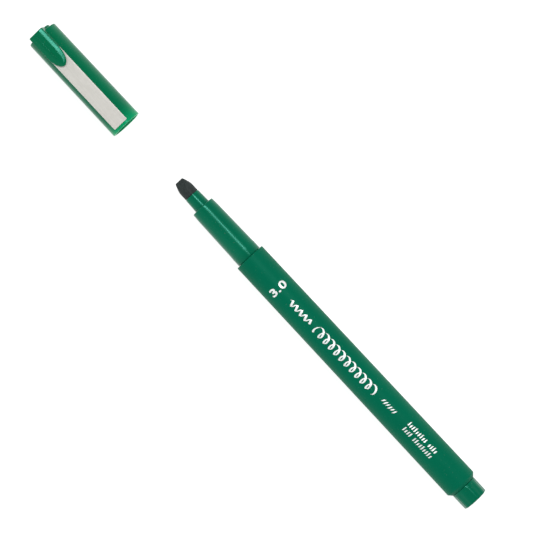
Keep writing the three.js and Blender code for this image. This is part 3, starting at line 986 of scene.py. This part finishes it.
def green_plastic(name, pale, deep, low, high, grain_depth, specular, ripple=0.5, painted_glow=None):
    """Green moulded plastic, between a pale and a deep shade and between two roughnesses."""
    material, tree, shader = bare_material(
        name, IOR=1.49, Specular_IOR_Level=specular, Specular_Tint=(0.25, 1.0, 0.82, 1)
    )
    skin = place_group(tree, SKIN, Ripple_Share=ripple)
    wear = place_group(tree, EDGE_WEAR)["Mask"]
    marks = place_group(tree, HANDLING)
    dust = place_group(tree, DUST, Amount=0.35)["Mask"]
    colour = blend_colours(tree, between(tree, skin["Drift"], 0.35, 0.65), deep, pale)
    # Painted light: a lighter green mixed in, standing in for light through the cap's thin wall near
    # its mouth.
    if painted_glow:
        colour = blend_colours(tree, painted_glow(tree), colour, (0.001, 0.39, 0.145))
    rubbed = sums(tree, "MULTIPLY", wear, 0.35)
    colour = blend_colours(tree, rubbed, colour, (0.02, 0.24, 0.15))
    colour = blend_colours(tree, dust, colour, (0.32, 0.38, 0.34))
    rough = between(tree, skin["Grain"], 0.3, 0.7, low, high)
    rough = sums(tree, "ADD", rough, sums(tree, "MULTIPLY", marks["Lines"], 0.12))
    rough = sums(tree, "ADD", rough, sums(tree, "MULTIPLY", marks["Smudge"], 0.05))
    rough = sums(tree, "ADD", rough, sums(tree, "MULTIPLY", wear, -0.06), clamp=True)
    wire(tree, (colour, shader["Base Color"]), (rough, shader["Roughness"]))
    bumps(tree, shader, skin["Height"], grain_depth)
    return material


def painted_mouth_light(tree):
    """Painted light: a lighter green put into the colour, standing in for light through the thin end
    of the cap's wall, growing towards its mouth.
    """
    place = node(tree, "ShaderNodeSeparateXYZ")
    wire(tree, (node(tree, "ShaderNodeTexCoord").outputs["Object"], place.inputs[0]))
    lit_length, most = 8 * MM, 0.8
    near_mouth = between(tree, place.outputs["X"], CAP_MOUTH - lit_length, CAP_MOUTH)
    return sums(tree, "MULTIPLY", sums(tree, "POWER", near_mouth, 3.0), most)


def satin_green():
    return green_plastic(
        "satin green barrel", (0.0004, 0.137, 0.071), (0.0004, 0.126, 0.065),
        0.42, 0.52, 0.012 * MM, 0.1, ripple=0.25,
    )


def gloss_green():
    return green_plastic(
        "gloss green moulding", (0.0004, 0.138, 0.069), (0.0004, 0.124, 0.062),
        0.19, 0.26, 0.005 * MM, 0.3,
    )


def cap_green():
    return green_plastic(
        "gloss green cap", (0.0004, 0.143, 0.059), (0.0004, 0.13, 0.054),
        0.19, 0.27, 0.005 * MM, 0.3, painted_glow=painted_mouth_light,
    )


def natural_plastic():
    """The unpigmented plastic of the cap's inner sleeve, a little milky."""
    material, tree, shader = bare_material("natural liner plastic", IOR=1.5)
    skin = place_group(tree, SKIN)
    marks = place_group(tree, HANDLING)
    shade = between(tree, skin["Drift"], 0.3, 0.7)
    colour = blend_colours(tree, shade, (0.66, 0.72, 0.68), (0.76, 0.8, 0.76))
    rough = between(tree, skin["Grain"], 0.3, 0.7, 0.38, 0.5)
    rough = sums(tree, "ADD", rough, sums(tree, "MULTIPLY", marks["Smudge"], 0.08))
    wire(tree, (colour, shader["Base Color"]), (rough, shader["Roughness"]))
    bumps(tree, shader, skin["Height"], 0.01 * MM)
    return material


def inked_felt(name, pale, deep, depth, fibre=260, clump=1400):
    """Pressed fibre soaked with ink."""
    material, tree, shader = bare_material(name, IOR=1.4, Specular_IOR_Level=0.32)
    fibres = place_group(tree, FIBRES, Fibre_Scale=fibre, Clump_Scale=clump)
    wear = place_group(tree, EDGE_WEAR, Reach=0.25 * MM)["Mask"]
    colour = blend_colours(tree, fibres["Shade"], deep, pale)
    colour = blend_colours(tree, sums(tree, "MULTIPLY", wear, 0.25), colour, (0.09, 0.1, 0.1))
    rough = between(tree, fibres["Height"], 0.3, 0.7, 0.5, 0.68)
    wire(tree, (colour, shader["Base Color"]), (rough, shader["Roughness"]))
    bumps(tree, shader, fibres["Height"], depth)
    return material


def clear_film():
    """The thin wrap round the ink reservoir."""
    material, tree, shader = bare_material("reservoir film", IOR=1.46)
    skin = place_group(tree, SKIN, Grain_Scale=3000, Ripple_Scale=300, Ripple_Share=0.8)
    shade = between(tree, skin["Drift"], 0.3, 0.7)
    colour = blend_colours(tree, shade, (0.62, 0.68, 0.66), (0.74, 0.79, 0.77))
    rough = between(tree, skin["Grain"], 0.3, 0.7, 0.14, 0.24)
    wire(tree, (colour, shader["Base Color"]), (rough, shader["Roughness"]))
    bumps(tree, shader, skin["Height"], 0.02 * MM)
    return material


def clip_steel():
    """Bright satin steel, brushed along its length and a little cleaner on its rubbed edges; the
    near-white edge colour is also a painted highlight where the rolled edges catch light.
    """
    material, tree, shader = bare_material("satin clip steel", Metallic=0.2, Specular_IOR_Level=0.5)
    brushed = place_group(tree, FIBRES, Fibre_Scale=150, Clump_Scale=900)
    wear = place_group(tree, EDGE_WEAR, Reach=0.2 * MM)["Mask"]
    marks = place_group(tree, HANDLING)
    dust = place_group(tree, DUST, Amount=0.3)["Mask"]
    colour = blend_colours(tree, brushed["Shade"], (0.64, 0.626, 0.58), (0.695, 0.68, 0.635))
    # Edges near white: partly rubbed steel, partly a painted highlight along the rolled edges.
    colour = blend_colours(tree, wear, colour, (0.9, 0.93, 0.89))
    colour = blend_colours(tree, dust, colour, (0.63, 0.62, 0.59))
    rough = between(tree, brushed["Height"], 0.3, 0.7, 0.36, 0.5)
    rough = sums(tree, "ADD", rough, sums(tree, "MULTIPLY", marks["Smudge"], 0.06))
    wire(tree, (colour, shader["Base Color"]), (rough, shader["Roughness"]))
    bumps(tree, shader, brushed["Height"], 0.004 * MM)
    return material


def silver_foil():
    """Hot-stamped silver foil, a little patchy where it has rubbed."""
    material, tree, shader = bare_material("silver print foil", Metallic=0.12)
    skin = place_group(tree, SKIN, Grain_Scale=6000)
    rubbed = between(tree, noise(tree, 1500, 3), 0.3, 0.6)
    colour = blend_colours(tree, rubbed, (0.74, 0.8, 0.78), (0.96, 0.98, 0.98))
    rough = between(tree, skin["Grain"], 0.3, 0.7, 0.28, 0.42)
    wire(tree, (colour, shader["Base Color"]), (rough, shader["Roughness"]))
    bumps(tree, shader, skin["Height"], 0.004 * MM)
    return material


def paint(piece, material):
    """Give a piece its one finish."""
    piece.data.materials.clear()
    piece.data.materials.append(material)


# ---- The studio -----------------------------------------------------------------------------


def set_camera():
    """Straight above the marker, which lies across the view from corner to corner."""
    clear_bench()
    bpy.ops.object.camera_add(
        location=(5.65 * MM, 1.97 * MM, AXIS + 0.885), rotation=(0, 0, math.radians(47.03))
    )
    camera = bpy.context.object
    camera.data.sensor_width = 36
    camera.data.lens = 188.1
    camera.data.clip_start, camera.data.clip_end = 0.05, 20
    bpy.context.scene.camera = camera


def set_floor():
    """A plain white table top that glows a little, so that shadows on it stay faint."""
    clear_bench()
    bpy.ops.mesh.primitive_plane_add(size=8, location=(0, 0, -0.05 * MM))
    floor = added("table_top")
    material, *_ = bare_material(
        "white table", Base_Color=(0.35, 0.35, 0.35, 1), Roughness=0.8, Specular_IOR_Level=0.1,
        Emission_Color=(1, 1, 1, 1), Emission_Strength=0.87,
    )
    paint(floor, material)


def set_surroundings():
    """A pale room, brighter at the horizon than behind the lamps overhead."""
    world = bpy.data.worlds.new("pale room")
    bpy.context.scene.world = world
    world.use_nodes = True
    tree = world.node_tree
    direction = node(tree, "ShaderNodeVectorMath", {"operation": "DOT_PRODUCT"})
    direction.inputs[1].default_value = (0, 0.3, 0.954)
    height = node(tree, "ShaderNodeTexCoord").outputs["Generated"]
    ramp = node(tree, "ShaderNodeValToRGB")
    stops = ramp.color_ramp.elements
    stops[0].position, stops[0].color = 0.0, (1, 1, 1, 1)
    stops[1].position, stops[1].color = 1.0, (0.1, 0.1, 0.1, 1)
    middle = stops.new(0.5)
    middle.color = (0.75, 0.75, 0.75, 1)
    wire(
        tree,
        (height, direction.inputs[0]),
        (direction.outputs["Value"], ramp.inputs["Fac"]),
        (ramp.outputs["Color"], tree.nodes["Background"].inputs["Color"]),
    )
    tree.nodes["Background"].inputs["Strength"].default_value = 0.9


def hang_lamp(name, place, size, power):
    """A soft rectangular lamp, aimed at the marker's middle, with its long side along X."""
    clear_bench()
    bpy.ops.object.light_add(type="AREA", location=place)
    lamp = bpy.context.object
    lamp.name = name
    lamp.rotation_euler = Vector(place).to_track_quat("Z", "Y").to_euler()
    lamp.data.shape = "RECTANGLE"
    lamp.data.size, lamp.data.size_y = size
    lamp.data.energy = power


def set_lamps():
    """A long narrow lamp for the thin highlights, and a broader one on the nib's side."""
    hang_lamp("strip lamp", (0.09, 0.36, 1.2), (0.5, 0.08), 3.2)
    hang_lamp("front lamp", (-0.3, 0.36, 1.2), (0.28, 0.2), 6.5)


# ---- Putting it together --------------------------------------------------------------------

set_camera()
set_floor()
set_surroundings()
set_lamps()
bpy.context.scene.view_settings.view_transform = "Standard"

satin, gloss, cap_gloss = satin_green(), gloss_green(), cap_green()
foil = silver_foil()
nib_felt = inked_felt("inked felt nib", (0.032, 0.042, 0.041), (0.011, 0.017, 0.017), 0.06 * MM)
core_felt = inked_felt(
    "inked core", (0.02, 0.035, 0.032), (0.008, 0.016, 0.015), 0.05 * MM, fibre=120, clump=900
)

barrel = make_barrel()
for printing in (
    make_size_mark(barrel),
    make_wave(barrel),
    make_loop_row(barrel),
    make_scale_ticks(barrel),
):
    polish(printing)
    paint(printing, foil)
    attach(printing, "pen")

for piece, finish, slot, stands_for in (
    (barrel, satin, "barrel_green", "barrel"),
    (make_front_section(), gloss, "gloss_green", "front_section"),
    (make_nib_holder(), gloss, "gloss_green", "nib_holder"),
    (make_nib(), nib_felt, "nib_felt", "chisel_nib"),
    (make_tail_plug(), gloss, "gloss_green", "tail_plug"),
):
    paint(piece, finish)
    fit_to_model(piece, "pen", slot, stands_for)

for piece, body, finish, slot, stands_for in (
    (make_cap_shell(), "cap", cap_gloss, "gloss_green", "cap_shell"),
    (make_cap_crown(), "cap", cap_gloss, "gloss_green", "cap_crown"),
    (make_cap_liner(), "liner", natural_plastic(), "natural_plastic", "cap_liner"),
    (make_clip(), "clip", clip_steel(), "clip_steel", "pocket_clip"),
):
    paint(piece, finish)
    fit_to_model(piece, body, slot, stands_for, lean_with_cap=True)

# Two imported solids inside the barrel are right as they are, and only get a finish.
for name, finish in (("ink_reservoir", core_felt), ("reservoir_film", clear_film())):
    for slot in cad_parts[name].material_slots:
        slot.material = finish
